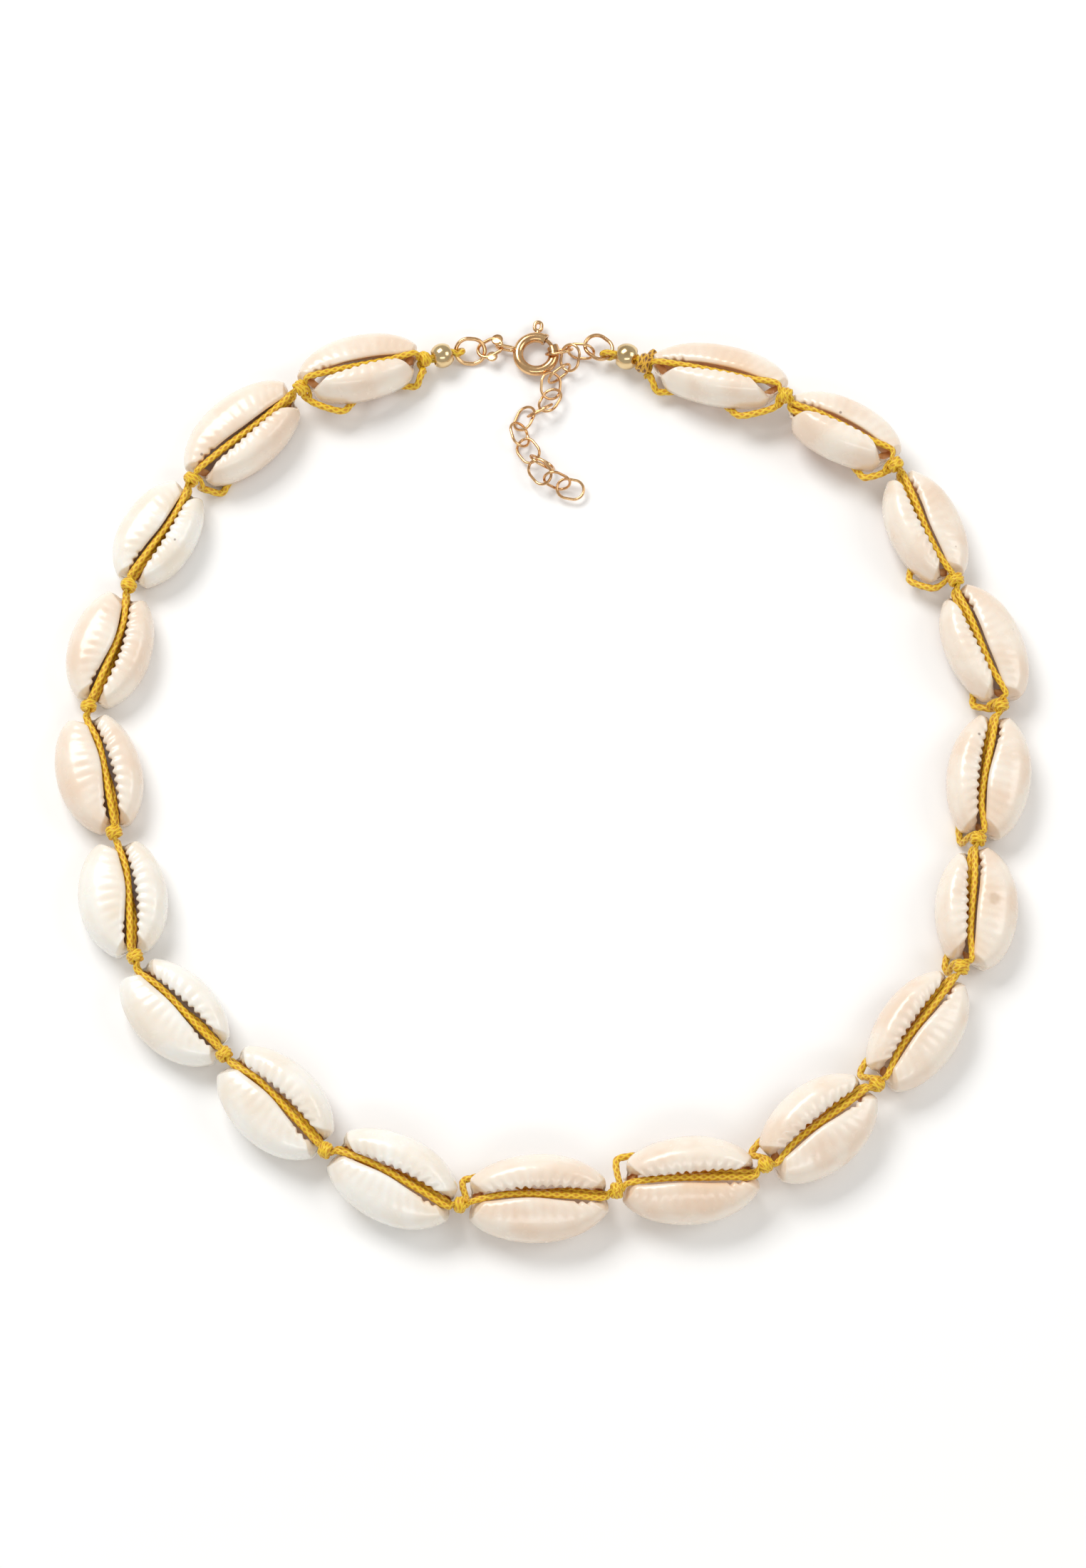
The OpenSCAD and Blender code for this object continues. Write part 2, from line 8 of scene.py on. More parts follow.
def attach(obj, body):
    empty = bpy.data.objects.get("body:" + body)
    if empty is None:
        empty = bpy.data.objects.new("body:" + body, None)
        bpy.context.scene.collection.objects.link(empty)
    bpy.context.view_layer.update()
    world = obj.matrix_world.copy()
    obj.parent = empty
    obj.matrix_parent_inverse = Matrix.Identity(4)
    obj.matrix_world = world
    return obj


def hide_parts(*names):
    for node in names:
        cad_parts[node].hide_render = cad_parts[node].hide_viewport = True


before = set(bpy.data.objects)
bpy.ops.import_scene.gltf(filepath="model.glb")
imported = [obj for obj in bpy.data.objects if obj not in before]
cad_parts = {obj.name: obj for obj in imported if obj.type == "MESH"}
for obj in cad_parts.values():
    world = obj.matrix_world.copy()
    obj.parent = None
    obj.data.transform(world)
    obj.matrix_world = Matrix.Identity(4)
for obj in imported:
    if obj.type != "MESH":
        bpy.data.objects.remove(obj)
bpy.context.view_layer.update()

# The camera.
# The necklace lies on a table and is seen from the front, 72 degrees above the
# table and 0.72 m away. The picture's middle falls just in front of the middle
# of the loop.
MM = 0.001
loop_centre = np.array([0.0, 1.3, 0.0])
view_height = radians(72)
view_distance = 720 * MM
aim_at = Vector((-loop_centre * MM).tolist())
towards = Vector((0, -cos(view_height), sin(view_height)))
camera = bpy.data.objects.new("camera", bpy.data.cameras.new("camera"))
bpy.context.scene.collection.objects.link(camera)
camera.location = aim_at + towards * view_distance
camera.rotation_mode = "QUATERNION"
camera.rotation_quaternion = (-towards).to_track_quat("-Z", "Y")
camera.data.sensor_width = 36
camera.data.lens = 130.9
camera.data.clip_start = 0.01
bpy.context.scene.camera = camera


# The table and lights.
# A plain white table top under one large soft box at the back left, a weaker
# one at the right and a long narrow strip in front, which draws the thin
# highlights along the shells and the wire.
class Value:
    """One value in a material, on which sums can be written as in Python."""

    def __init__(self, tree, socket):
        self.tree, self.socket = tree, socket

    def math(self, operation, other, flip=False):
        node = self.tree.nodes.new("ShaderNodeMath")
        node.operation = operation
        pair = (other, self) if flip else (self, other)
        for socket, value in zip(node.inputs, pair):
            feed(self.tree, socket, value)
        return Value(self.tree, node.outputs[0])

    def __add__(self, other):
        return self.math("ADD", other)

    def __sub__(self, other):
        return self.math("SUBTRACT", other)

    def __rsub__(self, other):
        return self.math("SUBTRACT", other, True)

    def __mul__(self, other):
        return self.math("MULTIPLY", other)

    __radd__ = __add__
    __rmul__ = __mul__


def feed(tree, socket, value):
    if isinstance(value, Value):
        tree.links.new(value.socket, socket)
    else:
        socket.default_value = value


class Finish:
    """A material: its shader, and one method that adds any other node."""

    def __init__(self, name, **shader):
        self.material = bpy.data.materials.new(name)
        self.material.use_nodes = True
        self.tree = self.material.node_tree
        self.shader = self.tree.nodes["Principled BSDF"]
        for socket, value in shader.items():
            self.set(socket.replace("_", " "), value)

    def set(self, socket, value):
        feed(self.tree, self.shader.inputs[socket], value)

    def add(self, kind, inputs=(), out=0, ramp=(), **settings):
        node = self.tree.nodes.new("ShaderNode" + kind)
        for name, value in settings.items():
            setattr(node, name, value)
        for socket, value in dict(inputs).items():
            feed(self.tree, node.inputs[socket], value)
        for stop, (at, colour) in enumerate(ramp):
            stops = node.color_ramp.elements
            element = stops[stop] if stop < len(stops) else stops.new(at)
            element.position, element.color = at, colour
        return Value(self.tree, node.outputs[out])

    def place(self):
        return self.add("TexCoord", out="Object")

    def painted(self, name):
        return self.add("Attribute", attribute_name=name, out="Fac")

    def noise(self, scale, detail=2.0):
        inputs = {"Vector": self.place(), "Scale": scale, "Detail": detail}
        return self.add("TexNoise", inputs, out="Fac")

    def step(self, value, low, high):
        """0 below low and 1 above high, with a soft change between."""
        ends = {"Value": value, "From Min": low, "From Max": high}
        return self.add("MapRange", ends, interpolation_type="SMOOTHSTEP")

    def mix(self, share, first, second):
        inputs = {"Factor": share, 6: first, 7: second}
        return self.add("Mix", inputs, out=2, data_type="RGBA")

    def bump(self, height, distance, strength=1.0):
        inputs = {"Height": height, "Distance": distance, "Strength": strength}
        self.set("Normal", self.add("Bump", inputs))


def colour(red, green, blue):
    """A colour given as in a paint program, 0 to 255."""
    def linear(c):
        return ((c / 255 + 0.055) / 1.055) ** 2.4 if c > 10 else c / 3295

    return linear(red), linear(green), linear(blue), 1.0


def deselect():
    bpy.ops.object.select_all(action="DESELECT")


def pick(piece):
    """Makes one piece the only one selected, and the active one."""
    deselect()
    piece.select_set(True)
    bpy.context.view_layer.objects.active = piece


def dress(piece, material, node):
    """Gives a piece its material, puts it under the necklace and hides the part that it stands in for."""
    piece.data.materials.append(material)
    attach(piece, "necklace")
    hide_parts(node)


deselect()
bpy.ops.mesh.primitive_plane_add(size=4)
table = bpy.context.object
table.name = "table"
paper = Finish("table_white", Roughness=0.85)
paper.set("Base Color", paper.mix(paper.noise(9.0), colour(250, 249, 248), colour(254, 254, 253)))
table.data.materials.append(paper.material)


def soft_box(name, at, size, power):
    light = bpy.data.objects.new(name, bpy.data.lights.new(name, "AREA"))
    bpy.context.scene.collection.objects.link(light)
    light.location = at
    light.rotation_euler = (-Vector(at)).to_track_quat("-Z", "Y").to_euler()
    light.data.shape = "RECTANGLE"
    light.data.size, light.data.size_y = size
    light.data.energy = power


soft_box("key_box", (-0.45, 0.6, 0.95), (0.7, 0.5), 8.5)
soft_box("fill_box", (0.8, 0.1, 0.8), (0.5, 0.5), 2.0)
soft_box("strip_box", (0.05, -0.8, 0.9), (0.9, 0.2), 1.8)
world = bpy.data.worlds.new("studio")
world.use_nodes = True
world.node_tree.nodes["Background"].inputs["Color"].default_value = (1.0, 0.99, 0.97, 1)
world.node_tree.nodes["Background"].inputs["Strength"].default_value = 0.47
bpy.context.scene.world = world
bpy.context.scene.view_settings.view_transform = "Standard"

# The shells.
# Ring cowries with their backs cut away, so that only the toothed base and its
# rolled lips are left. The glossy shell is natural, cream to white. Each one
# hangs between two knots, with the cord in its slit.
# Middle of each knot from the left end round to the right.
knot_at = np.array([
    [-15.3, 56.7, 2.8], [-31.1, 51.8, 5.0], [-44.9, 39.5, 4.4], [-52.6, 25.2, 4.1],
    [-57.3, 9.0, 4.1], [-53.7, -7.7, 4.2], [-50.7, -24.0, 4.5], [-39.4, -36.7, 5.1],
    [-26.7, -49.1, 5.8], [-10.1, -56.0, 5.9], [9.0, -54.3, 6.2], [27.2, -51.1, 6.3],
    [41.1, -40.7, 5.7], [51.9, -25.6, 5.2], [54.4, -8.8, 4.9], [57.7, 8.9, 4.7],
    [52.4, 25.7, 4.8], [45.0, 41.1, 5.5], [31.1, 50.4, 5.9], [13.1, 55.8, 3.5],
])
# length, width, lean outwards, turn, rise, shift inwards, and how far out along
# the near and the far half the back strand dips in under the inner edge
shell_table = [
    [16.4, 9.2, 19, -1, 6, -1.6, 0.8, 0.4], [17.8, 10.3, 6, 0, 0, -1.2, 0, 0.75],
    [15.6, 9.9, 4, -2, 0, -0.6, 0, 0], [16.2, 10.6, 0, 0, 0, 0, 0, 0],
    [16.5, 10.8, 0, 3, 0, -0.4, 0, 0], [15.9, 11.2, 0, -2, 0, -0.3, 0, 0],
    [16.3, 10.5, 7, 4, 0, -1.0, 0, 0], [17.1, 11.2, 16, 1, 0, -0.3, 0, 0],
    [17.4, 11.1, 22, -4, 0, -0.5, 0, 0], [18.5, 11.0, 22, -3, 0, -0.3, 0.95, 0],
    [17.8, 11.0, 29, -6, 0, -0.9, 0.95, 0], [16.8, 11.2, 22, 3, 0, -0.6, 0.95, 0],
    [17.2, 10.4, 17, 1, 0, -0.6, 0.95, 0], [16.3, 10.5, 10, 5, 0, -1.3, 0.95, 0],
    [17.2, 10.7, 8, 3, 0, -0.3, 0.95, 0], [16.9, 10.0, 11, 5, 0, -1.2, 0.75, 0],
    [16.4, 9.6, 17, -2, 0, -0.5, 0.65, 0], [16.0, 9.3, 30, 6, 0, -1.8, 0.65, 0],
    [18.2, 8.8, 24, 3, -6, -1.9, 0.4, 0.8],
]
shells = len(shell_table)
depth_ratio = 0.52
shell_wall = 1.1
slit_narrow, slit_wide = 0.5, 0.8
rim_reach = 0.93
cut_inset = 0.5
channel_level = 0.72
crest_droop = 0.22
notch_drop, notch_half, notch_slope, notch_in = 0.52, 0.42, 1.4, 1.0
slit_end_share, slit_swing = 0.7, 0.2
near_end_full, far_end_slim = 0.28, 1.15
widest_level = 0.42
tooth_pitch = 1.06
around = 256
# How many rings of points lie between each row of the section and the next.
section_steps = [2, 3, 4, 4, 4, 3, 3, 3, 2, 2, 2]


def soft_step(x, low, high):
    k = np.clip((x - low) / (high - low), 0, 1)
    return k * k * (3 - 2 * k)


def slit_end(i):
    """How far to the side the slit meets the ends of the shell."""
    return -slit_end_share * shell_table[i][5]


def end_notch(i, ang):
    """Share of the notch for the cord at an angle round the shell."""
    off = abs(np.sin(ang) - 2 * slit_end(i) / shell_table[i][1])
    return np.clip(notch_slope * (1 - off / notch_half), 0, 1)


def outline(i, ang, margin):
    """The shell's outline from above, drawn in by a margin."""
    length, width = shell_table[i][:2]
    a = length / 2 - margin - notch_in * end_notch(i, ang)
    b = width / 2 - margin
    power = far_end_slim - near_end_full * (1 - np.cos(ang)) / 2
    return a * np.cos(ang), b * np.sign(np.sin(ang)) * abs(np.sin(ang)) ** power


def slit_mid(i, t):
    swing = slit_swing * shell_table[i][1] / 2
    return slit_end(i) + (swing - slit_end(i)) * np.exp(-(((t + 0.1) / 0.65) ** 2))


def slit_half(t):
    wide = slit_narrow + (slit_wide - slit_narrow) / (1 + np.exp(-8 * (t - 0.1)))
    return wide * np.sqrt(np.clip(1 - (abs(t) / rim_reach) ** 6, 0, 1))


def shell_rows(i, ang):
    """Rows of points round the shell, from the cut edge over the lips and in."""
    length, width = shell_table[i][:2]
    height = width * depth_ratio
    t = rim_reach * np.where(ang <= pi, 1 - 2 * ang / pi, 2 * ang / pi - 3)
    side = np.sign(np.sin(ang)).round()
    rim = length / 2 * t, slit_mid(i, t) + side * slit_half(t)
    droop = 1 - crest_droop * abs(np.cos(ang)) ** 3
    crest = height * droop * (1 - notch_drop * end_notch(i, ang))
    flat, inner = outline(i, ang, 0), outline(i, ang, shell_wall)

    def between(first, second, share, z):
        return np.stack([f + (s - f) * share for f, s in zip(first, second)] + [z + 0 * ang], 1)

    cut, hollow = outline(i, ang, cut_inset), outline(i, ang, shell_wall + cut_inset)
    return [
        between(cut, cut, 0, 0),
        between(flat, flat, 0, widest_level * height),
        between(flat, rim, 0.10, 0.76 * crest),
        between(flat, rim, 0.34, 0.95 * crest),
        between(flat, rim, 0.66, 1.0 * crest),
        between(flat, rim, 0.90, 0.975 * crest),
        between(rim, rim, 0, 0.89 * crest),
        between(rim, inner, 0.06, 0.80 * crest),
        between(rim, inner, 0.25, 0.68 * crest),
        between(inner, inner, 0, widest_level * height),
        between(hollow, hollow, 0, 0),
    ]


def heading(i):
    way = knot_at[i + 1] - knot_at[i]
    return atan2(way[1], way[0]) + radians(shell_table[i][3])


def from_channel(i, points):
    """Points of a shell, turned about the line on which the cord runs."""
    _, width, lean, _, rise, shift = shell_table[i][:6]
    p = np.asarray(points, float) + [0, shift, -channel_level * width * depth_ratio]
    turn = Matrix.Rotation(heading(i), 3, "Z") @ Matrix.Rotation(-radians(rise), 3, "Y")
    turn = turn @ Matrix.Rotation(radians(lean), 3, "X")
    return p @ np.array(turn).T


fine_angles = np.arange(around) * 2 * pi / around
channel_height = []
for i in range(shells):
    low = min(from_channel(i, row)[:, 2].min() for row in shell_rows(i, fine_angles)[:2])
    channel_height.append(-low)


def placed(i, points):
    middle = (knot_at[i] + knot_at[i + 1]) / 2
    return from_channel(i, points) + [middle[0], middle[1], channel_height[i]] - loop_centre


def through(rows, at):
    """Points on smooth curves through closed rows, at a place counted in rows."""
    first = int(at)
    k = at - first
    a, b, c, d = (rows[(first + n) % len(rows)] for n in (-1, 0, 1, 2))
    return b + 0.5 * k * (c - a + k * (2 * a - 5 * b + 4 * c - d + k * (3 * (b - c) + d - a)))


# One shell has a small round spot where its glaze is worn through.
worn_shell, worn_at = 13, [56.2, -18.2]


def make_shell(i):
    """The band of the shell: a ring of rounded section, drawn to its form."""
    deselect()
    bpy.ops.mesh.primitive_torus_add(major_segments=around, minor_segments=sum(section_steps))
    shell = bpy.context.object
    shell.name = f"shell_{i + 1:02d}"
    length, width = shell_table[i][:2]
    ang = fine_angles
    rows = shell_rows(i, ang)
    t = rim_reach * np.where(ang <= pi, 1 - 2 * ang / pi, 2 * ang / pi - 3)
    outer = np.where((ang > 0) & (ang < pi), 1.0, 0.0)
    inner = np.where(ang > pi, 1.0, 0.0)
    seed = np.random.default_rng(40 + i)
    wander = 0.25 * np.interp(t, np.linspace(-1, 1, 9), seed.normal(0, 1, 9))
    fade = soft_step(0.86 - abs(t), 0, 0.08)
    far_only = soft_step(t, 0.42, 0.52)
    levels = [row + step / count for row, count in enumerate(section_steps) for step in range(count)]
    points = np.zeros((around, len(levels), 3))
    painted = {name: np.zeros((around, len(levels))) for name in ("lip", "hollow", "groove", "worn")}
    for column, level in enumerate(levels):
        p = through(rows, level)
        slant = 0.30 * (6 - level)
        phase = 2 * pi * (t * length / 2 / tooth_pitch) + wander
        gap = (0.5 - 0.5 * np.cos(phase + outer * 0.2 * slant - inner * slant)) * fade
        notch = np.interp(level, [4.4, 5, 6, 7, 8, 8.6], [0, 0.3, 1, 0.85, 0.25, 0]) * gap ** 1.3
        p[:, 1] += notch * (0.40 * outer - 0.34 * inner * far_only)
        on_outer = np.interp(level, [2.7, 3.6, 4.6, 6, 7], [0, 0.6, 1, 0.7, 0])
        on_inner = np.interp(level, [2.9, 3.6, 4.3, 5.2, 6], [0, 0.8, 1, 0.45, 0])
        on_far = np.interp(level, [3.0, 4, 6, 7], [0, 0.7, 1, 0])
        groove = gap * (outer * on_outer + inner * ((1 - far_only) * on_inner + far_only * on_far))
        p[:, 2] -= (0.13 * outer + 0.05 * inner) * groove
        points[:, column] = placed(i, p)
        painted["lip"][:, column] = np.interp(level, [2.6, 4.6, 6, 8], [0, 0.35, 1, 1])
        painted["hollow"][:, column] = np.interp(level, [6.0, 7.6, 9.5, 10.6], [0, 1, 1, 0.4])
        painted["groove"][:, column] = groove
        if i == worn_shell and level < 6:
            off = np.hypot(*(points[:, column, :2] - worn_at).T)
            painted["worn"][:, column] = 1 - soft_step(off, 0.55, 0.95)
    shell.data.vertices.foreach_set("co", (points * MM).ravel())
    painted["body_side"] = np.repeat(inner[:, None], len(levels), 1)
    for name, values in painted.items():
        layer = shell.data.attributes.new(name, "FLOAT", "POINT")
        layer.data.foreach_set("value", values.ravel().astype(np.float32))
    shell.data.update()
    bpy.ops.object.shade_smooth()
    return shell


def shell_finish(name, pale, blush, warm):
    """Glossy natural shell: paler on its shoulders, warm by the slit, with painted shade in the grooves
    between its teeth and painted shade and warm light inside it.
    """
    skin = Finish(name, Roughness=0.24, Subsurface_Weight=0.25, Subsurface_Scale=0.0016)
    skin.set("Subsurface Radius", (1.0, 0.7, 0.5))
    skin.set("Coat Weight", 0.35)
    skin.set("Coat Roughness", 0.08)
    clouds = skin.step(skin.noise(170.0, 3.0), 0.35, 0.68)
    patches = skin.step(skin.noise(95.0, 2.0), 0.48, 0.66)
    base = skin.mix(clouds, pale, blush)
    lip, groove, hollow = (skin.painted(n) for n in ("lip", "groove", "hollow"))
    base = skin.mix(lip * patches * (0.35 + 0.5 * skin.painted("body_side")), base, warm)
    base = skin.mix(skin.painted("worn") * 0.55, base, colour(206, 178, 146))
    # Painted shade: the grooves between the teeth are tinted a little darker.
    base = skin.mix(groove * 0.1, base, colour(214, 184, 160))
    specks = skin.add("TexVoronoi", {"Vector": skin.place(), "Scale": 420.0}, out="Distance")
    rare = skin.step(skin.noise(260.0, 0.0), 0.66, 0.70)
    base = skin.mix((1 - skin.step(specks, 0.05, 0.10)) * rare * 0.7, base, colour(120, 96, 84))
    # The inside of the shell is painted a warm orange-brown: painted shade in the hollow, warmed by
    # painted light shining through the shell.
    base = skin.mix(hollow * 0.9, base, colour(236, 170, 96))
    skin.set("Base Color", base)
    skin.set("Roughness", 0.2 + 0.12 * skin.noise(700.0, 2.0) + 0.25 * hollow)
    skin.bump(skin.noise(900.0, 3.0) * 0.35 + skin.noise(240.0, 2.0), 0.00006, 0.6)
    return skin.material


cream, cream_blush, cream_lip = colour(247, 235, 220), colour(239, 217, 195), colour(240, 203, 164)
white, white_blush, white_lip = colour(250, 246, 238), colour(243, 232, 216), colour(243, 217, 184)
glazes = {
    "shell_cream": shell_finish("shell_cream", cream, cream_blush, cream_lip),
    "shell_white": shell_finish("shell_white", white, white_blush, white_lip),
}
white_shells = (3, 6, 7, 8, 9)
for i in range(shells):
    glaze = "shell_white" if i + 1 in white_shells else "shell_cream"
    dress(make_shell(i), glazes[glaze], f"cowrie_{i + 1:02d}")

# The two cord strands.
# One fine braided cord, waxed and golden yellow, laid double. The front strand
# runs over the ends of the shells and along their slits. The back strand lies
# under it or slips round the inner side of a shell into its hollow.
strand_r = 0.43
pinch_r = 0.25
pinch_off = 0.31
tight_r = 0.35
over_notch, in_notch = 1.46, 0.54
strand_apart = 0.12
knot_l = 1.3
knot_exit = knot_l / 2 + 0.1
strand_sides = 16


def unit(v):
    return v / np.linalg.norm(v)


def knot_dir(k):
    return unit(knot_at[min(k + 1, shells)] - knot_at[max(k - 1, 0)])


def at_knot(k, way, level, out=knot_exit):
    return [*(knot_at[k] - loop_centre + way * out * knot_dir(k) + [0, 0, level * pinch_off]), pinch_r]


def in_shell(i, t, y, z, r=strand_r):
    return [*placed(i, [[t * shell_table[i][0] / 2, y, z]])[0], r]


def over_end(i, way, aside, above):
    """A station in the notch at one end of a shell."""
    level = widest_level * shell_table[i][1] * depth_ratio + above
    return in_shell(i, way * 0.9, slit_end(i) + aside, level, tight_r)


def front_in_shell(i):
    h = shell_table[i][1] * depth_ratio
    return [
        over_end(i, -1, -strand_apart, over_notch),
        in_shell(i, -0.45, slit_mid(i, -0.45), 0.70 * h),
        in_shell(i, 0.45, slit_mid(i, 0.45) - 0.15, 0.74 * h),
        over_end(i, 1, -strand_apart, over_notch),
    ]


def beside_knot(k, way, out, aside, drop, r):
    """A station next to a knot, inwards from it and below it."""
    x, y, _ = knot_dir(k)
    inwards = unit(np.array([-y, x, 0]))
    return [*(knot_at[k] - loop_centre + way * out * knot_dir(k) + aside * inwards - [0, 0, drop]), r]


def beside_shell(i, t, off, z):
    return in_shell(i, t, outline(i, np.arccos(t), 0)[1] + off, z)


def round_end(i, way):
    """Stations from a knot round the inner edge of a shell into its hollow."""
    k, dip = (i, shell_table[i][6]) if way < 0 else (i + 1, shell_table[i][7])
    y = slit_end(i) + 1.9
    path = [beside_knot(k, -way, 0.92, 0.4, 0.5, 0.23)]
    if dip > 0.9:
        path += [
            beside_knot(k, -way, 0.62, 1.1, 1.5, 0.35),
            in_shell(i, way * 0.99, y, -0.2),
            in_shell(i, way * 0.88, y + 0.3, -0.4),
        ]
    else:
        path += [
            beside_knot(k, -way, 0.5, 1.4, 1.0, 0.33),
            beside_shell(i, way * 0.97, 0.75, 1.2),
            beside_shell(i, way * 0.89, 0.55, 0.7),
        ]
        if dip < 0.7:
            path.append(beside_shell(i, way * (0.93 + dip) / 2, 0.5, 0.2))
        path += [
            beside_shell(i, way * (dip + 0.02), 0.45, -0.25),
            beside_shell(i, way * (dip - 0.12), -0.7, -0.44),
        ]
    return path + [beside_shell(i, way * (min(dip, 0.85) - 0.28), -1.9, -0.35)]


def back_in_shell(i):
    h = shell_table[i][1] * depth_ratio
    near_dip, far_dip = shell_table[i][6:8]
    near = [over_end(i, -1, strand_apart, in_notch), in_shell(i, -0.5, 0.4, 0.42 * h)]
    far = [
        in_shell(i, 0.45, slit_mid(i, 0.45) + 0.3, 0.74 * h - 0.85),
        over_end(i, 1, strand_apart, in_notch),
    ]
    middle = ((far_dip - 0.3 if far_dip else 0.5) - (near_dip - 0.3 if near_dip else 0.5)) / 2
    return (
        (round_end(i, -1) if near_dip else near)
        + [in_shell(i, middle, 0.9, 0.40 * h)]
        + (round_end(i, 1)[::-1] if far_dip else far)
    )


left_bead_at = np.array([-13.0, 57.4, 2.2]) - loop_centre
right_bead_at = np.array([10.8, 57.2, 2.4]) - loop_centre
left_hub_at = np.array([-11.23, 58.1, 1.3]) - loop_centre
right_hub_at = np.array([8.55, 57.55, 2.0]) - loop_centre
left_bead_d, right_bead_d, bead_bore_d = 3.2, 3.4, 2.0
left_loop_up = unit(np.array([0.2, -0.5, 0.85]))
turn_r, leg_r, leg_off, leg_in = 0.92, 0.36, 0.45, 0.4


def end_loop(bead, hub, bead_r, up=np.array([0.0, 0.0, 1.0])):
    """The cord's end, out of a bead, round a jump ring's wire and back."""
    d = unit((hub - bead) * [1, 1, 0])
    reach = (bead_r - leg_in) * d
    below, above = bead - [0, 0, leg_off], bead + [0, 0, leg_off]
    turn = [hub + turn_r * (d * cos(a) + up * sin(a)) for a in np.radians(np.arange(-90, 91, 22.5))]
    return [[*p, leg_r] for p in (below - reach, below + reach, *turn, above + reach, above - reach)]


def front_path():
    path = [at_knot(0, -1, -1, 0.1)]
    path += end_loop(left_bead_at, left_hub_at, left_bead_d / 2, left_loop_up)
    path.append(at_knot(0, -1, 1, 0.1))
    for i in range(shells):
        path += [at_knot(i, 1, 1)] + front_in_shell(i) + [at_knot(i + 1, -1, 1)]
    return path + [at_knot(shells, -1, 1, 0.1)]


def back_path():
    path = [at_knot(0, 1, -1, 0.1)]
    for i in range(shells):
        path += [at_knot(i, 1, -1)] + back_in_shell(i) + [at_knot(i + 1, -1, -1)]
    path += [at_knot(shells, 1, -1)] + end_loop(right_bead_at, right_hub_at, right_bead_d / 2)
    return path + [at_knot(shells, 1, 1), at_knot(shells, 1, 1, 0.1)]


def smooth_path(stations, step):
    """A smooth curve through stations, with a point about every step."""
    p = np.array(stations, float)
    out = []
    for j in range(len(p) - 1):
        a, b, c, d = p[max(j - 1, 0)], p[j], p[j + 1], p[min(j + 2, len(p) - 1)]
        ab, bc, cd = (max(np.linalg.norm((y - x)[:3]) ** 0.5, 0.05) for x, y in ((a, b), (b, c), (c, d)))
        m1 = (c - b) + bc * ((b - a) / ab - (c - a) / (ab + bc))
        m2 = (c - b) + bc * ((d - c) / cd - (d - b) / (bc + cd))
        count = max(1, ceil(np.linalg.norm((c - b)[:3]) / step))
        for k in np.arange(count) / count:
            k2, k3 = k * k, k * k * k
            from_b = (2 * k3 - 3 * k2 + 1) * b + (k3 - 2 * k2 + k) * m1
            out.append(from_b + (3 * k2 - 2 * k3) * c + (k3 - k2) * m2)
    out = np.array(out + [p[-1]])
    # The cord rests on the table and does not sink into it.
    out[:, 2] = np.maximum(out[:, 2], out[:, 3] * 1.08)
    return out


def make_cord(name, paths, ribs=0.07, turns_per_mm=0.22):
    """Round cords along paths of points with radii, with soft twisted ribs."""
    corners, faces, coords = [], [], []
    for path in paths:
        p, r = path[:, :3], path[:, 3]
        along = np.gradient(p, axis=0)
        along /= np.linalg.norm(along, axis=1)[:, None]
        run = np.r_[0, np.cumsum(np.linalg.norm(np.diff(p, axis=0), axis=1))]
        up = np.array([0.0, 0.0, 1.0]) if abs(along[0][2]) < 0.9 else np.array([1.0, 0.0, 0.0])
        start = len(corners)
        for j in range(len(p)):
            up = unit(up - (up @ along[j]) * along[j])
            side = np.cross(up, along[j])
            for s in range(strand_sides):
                a = 2 * pi * s / strand_sides
                rib = 1 + ribs * cos(4 * (a - 2 * pi * turns_per_mm * run[j]))
                corners.append(p[j] + r[j] * rib * (up * cos(a) + side * sin(a)))
        for j in range(len(p) - 1):
            for s in range(strand_sides):
                n = (s + 1) % strand_sides
                ring, following = start + j * strand_sides, start + (j + 1) * strand_sides
                faces.append((ring + s, ring + n, following + n, following + s))
                u0, u1, v0, v1 = s / strand_sides, (s + 1) / strand_sides, run[j], run[j + 1]
                coords += [(u0, v0), (u1, v0), (u1, v1), (u0, v1)]
        for ring, flip in ((start, True), (start + (len(p) - 1) * strand_sides, False)):
            cap = [ring + s for s in range(strand_sides)]
            faces.append(tuple(cap[::-1] if flip else cap))
            coords += [(0.5, 0.0)] * strand_sides
    mesh = bpy.data.meshes.new(name)
    mesh.from_pydata((np.array(corners) * MM).tolist(), [], faces)
    mesh.uv_layers.new(name="UVMap").data.foreach_set("uv", np.array(coords).ravel())
    cord = bpy.data.objects.new(name, mesh)
    bpy.context.scene.collection.objects.link(cord)
    pick(cord)
    bpy.ops.object.mode_set(mode="EDIT")
    bpy.ops.mesh.select_all(action="SELECT")
    bpy.ops.mesh.normals_make_consistent(inside=False)
    bpy.ops.object.mode_set(mode="OBJECT")
    bpy.ops.object.shade_smooth()
    return cord


def cord_finish(name, light, dark):
    """Waxed braid: strands that cross on the slant, with a painted highlight on their crowns and painted
    shade in the crevices between them.
    """
    braid = Finish(name, Roughness=0.4)
    braid.set("Coat Weight", 0.3)
    braid.set("Coat Roughness", 0.25)
    where = braid.add("SeparateXYZ", {"Vector": braid.add("TexCoord", out="UV")})
    run = Value(braid.tree, where.socket.node.outputs[1])
    one = (where * (4 * 2 * pi) + run * (2 * pi / 1.15)).math("SINE", 0.0)
    two = (where * (4 * 2 * pi) - run * (2 * pi / 1.15)).math("SINE", 0.0)
    crown = one.math("MAXIMUM", two) * 0.5 + 0.5
    threads = (where * (24 * 2 * pi) + run * 9.0).math("SINE", 0.0) * 0.5 + 0.5
    high = crown * 0.8 + threads * 0.2
    # Painted shade in the crevices between the strands, painted highlight on their crowns.
    painted_light_share = braid.step(high + 0.35 * (braid.noise(1500.0) - 0.5), 0.25, 0.95)
    braid.set("Base Color", braid.mix(painted_light_share, dark, light))
    braid.set("Roughness", 0.52 - 0.2 * painted_light_share)
    braid.bump(high, 0.00012, 1.0)
    return braid.material


# The lighter colour is the painted highlight on the crowns, the darker one the painted shade in the
# crevices.
cord_gold = cord_finish("cord_gold", colour(255, 214, 48), colour(218, 146, 8))
for name, path in (("cord_front", front_path()), ("cord_back", back_path())):
    strand = make_cord(name, [smooth_path(path, 0.22)])
    dress(strand, cord_gold, name.replace("cord", "strand"))


